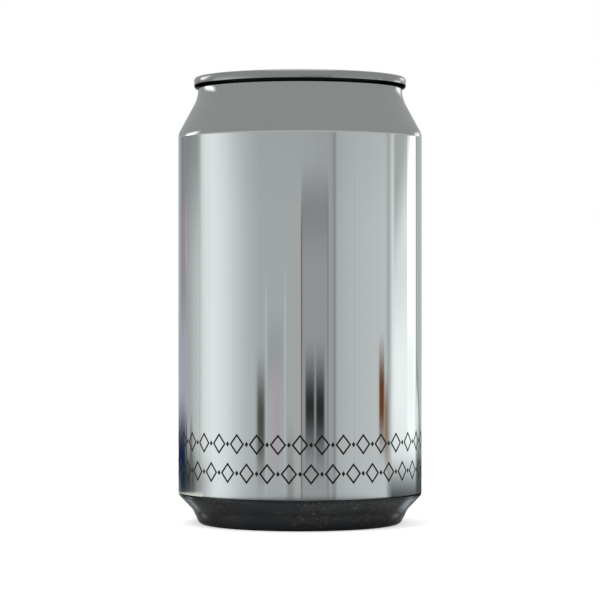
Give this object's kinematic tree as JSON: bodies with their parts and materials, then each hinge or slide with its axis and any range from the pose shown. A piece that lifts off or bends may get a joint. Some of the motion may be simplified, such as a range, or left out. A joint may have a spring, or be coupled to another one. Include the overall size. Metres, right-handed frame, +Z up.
{
  "type": "drinks can",
  "caption": "Shut two-piece aluminium drinks can with a mirror finish, necked-in shoulder, double-seamed end, stay-on tab and domed base",
  "frame": {"origin": "centre of the stand ring's flat foot, on the can's axis", "axes": "+Z up along the can's axis; -Y is the pouring side of the end"},
  "size_m": [0.0662, 0.0662, 0.1211],
  "materials": {
    "body_mirror": "mirror-polished metal",
    "end_metal": "bright rolled sheet",
    "tab_metal": "bright rolled sheet, curled edge"
  },
  "bodies": {
    "root": {"can_body": "body_mirror", "can_end": "end_metal", "stay_tab": "tab_metal"}
  },
  "joints": []
}
